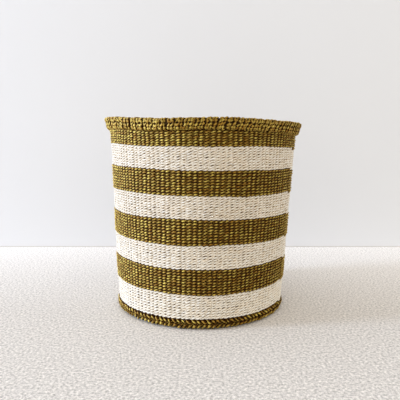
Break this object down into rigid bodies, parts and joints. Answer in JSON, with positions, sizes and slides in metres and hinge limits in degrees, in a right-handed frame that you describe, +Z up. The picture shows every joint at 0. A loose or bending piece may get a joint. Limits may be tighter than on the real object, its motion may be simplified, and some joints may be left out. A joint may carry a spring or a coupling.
{
  "type": "storage basket",
  "caption": "Round open storage basket of twined sisal with broad olive and cream stripes, a rolled plaited rim and a flat floor",
  "frame": {"origin": "middle of the flat underside, on the ground", "axes": "+Z up along the basket's own axis, -Y towards the pictured side, +X to the right seen from there"},
  "size_m": [0.2192, 0.2192, 0.2085],
  "materials": {
    "olive_sisal": "olive-dyed twisted sisal strand, matt with a slight fibre sheen",
    "cream_sisal": "bleached cream twisted sisal strand, matt",
    "warp_cord": "dark brown sisal warp cord, matt, hidden between the weft strands"
  },
  "bodies": {
    "root": {"warp_group_01": "warp_cord", "warp_group_02": "warp_cord", "warp_group_03": "warp_cord", "warp_group_04": "warp_cord", "warp_group_05": "warp_cord", "warp_group_06": "warp_cord", "warp_group_07": "warp_cord", "warp_group_08": "warp_cord", "warp_group_09": "warp_cord", "warp_group_10": "warp_cord", "warp_group_11": "warp_cord", "warp_group_12": "warp_cord", "floor_centre_weft": "olive_sisal", "floor_outer_weft": "olive_sisal", "edge_row_lower": "olive_sisal", "edge_row_upper": "olive_sisal", "cream_stripe_1": "cream_sisal", "olive_stripe_1": "olive_sisal", "cream_stripe_2": "cream_sisal", "olive_stripe_2": "olive_sisal", "cream_stripe_3": "cream_sisal", "olive_stripe_3": "olive_sisal", "cream_stripe_4": "cream_sisal", "olive_top_band": "olive_sisal", "rim_core": "olive_sisal", "rim_plait": "olive_sisal"}
  },
  "joints": []
}
